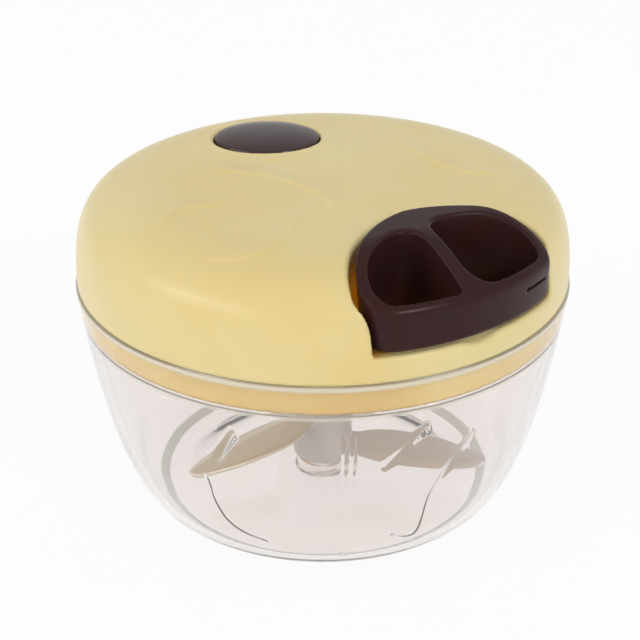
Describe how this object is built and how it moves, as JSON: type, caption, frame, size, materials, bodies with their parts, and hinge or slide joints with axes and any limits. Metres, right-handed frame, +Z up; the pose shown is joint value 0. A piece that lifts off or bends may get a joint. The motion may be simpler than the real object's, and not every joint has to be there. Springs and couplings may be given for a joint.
{
  "type": "pull-cord food chopper",
  "caption": "Hand-pulled food chopper: clear round bowl, bladed hub, domed lid with a cord reel, a two-finger pull handle and a filler plug.",
  "frame": {"origin": "middle of the bowl's foot, on the table", "axes": "+Z up along the blade axis, -Y towards the pictured front, +X to its right"},
  "size_m": [0.125, 0.125, 0.0884],
  "materials": {
    "clear_plastic": "clear tinted polystyrene, polished",
    "lid_yellow": "pastel yellow, satin",
    "base_yellow": "pastel yellow, satin",
    "dark_brown": "dark purple brown, semi-gloss",
    "hub_grey": "pale grey, smooth",
    "reel_white": "off-white moulding",
    "cord_white": "braided cord",
    "blade_steel": "polished stainless steel",
    "spring_steel": "rolled spring strip",
    "screw_steel": "zinc plated steel"
  },
  "bodies": {
    "bowl_body": {"bowl": "clear_plastic", "bowl_pin": "screw_steel"},
    "blade_unit": {"blade_hub": "hub_grey", "lower_blade": "blade_steel", "middle_blade": "blade_steel", "upper_blade": "blade_steel"},
    "lid": {"lid_shell": "lid_yellow", "lid_base": "base_yellow", "lid_screw_1": "screw_steel", "lid_screw_2": "screw_steel", "lid_screw_3": "screw_steel", "lid_screw_4": "screw_steel", "cord_guide": "screw_steel", "mainspring": "spring_steel", "cord_lead": "cord_white"},
    "reel": {"cord_reel": "reel_white", "reel_cover": "reel_white", "cord_winding": "cord_white", "drive_socket": "hub_grey", "axle_washer": "screw_steel", "axle_screw": "screw_steel"},
    "handle": {"pull_handle": "dark_brown", "cord_tail": "cord_white"},
    "plug": {"filler_plug": "dark_brown"}
  },
  "joints": [
    {"name": "blade_spin", "type": "hinge", "parent": "bowl_body", "child": "blade_unit", "pos_m": [0, 0, 0.02], "axis": [0, 0, 1], "range_deg": [0, 1800]},
    {"name": "lid_lift", "type": "slide", "parent": "bowl_body", "child": "lid", "axis": [0, 0, 1], "range_m": [0, 0.12]},
    {"name": "reel_spin", "type": "hinge", "parent": "lid", "child": "reel", "pos_m": [0, 0, 0.07], "axis": [0, 0, 1], "range_deg": [0, 1800]},
    {"name": "handle_pull", "type": "slide", "parent": "lid", "child": "handle", "axis": [0.5736, -0.8192, 0], "range_m": [0, 0.45], "stiffness_N_per_m": 8, "springref_m": -0.3},
    {"name": "plug_lift", "type": "slide", "parent": "lid", "child": "plug", "axis": [0, 0, 1], "range_m": [0, 0.05]}
  ],
  "couplings": [
    {"joint": "reel_spin", "follows": "handle_pull", "rad_per_m": 68.966},
    {"joint": "blade_spin", "follows": "handle_pull", "rad_per_m": 68.966}
  ]
}
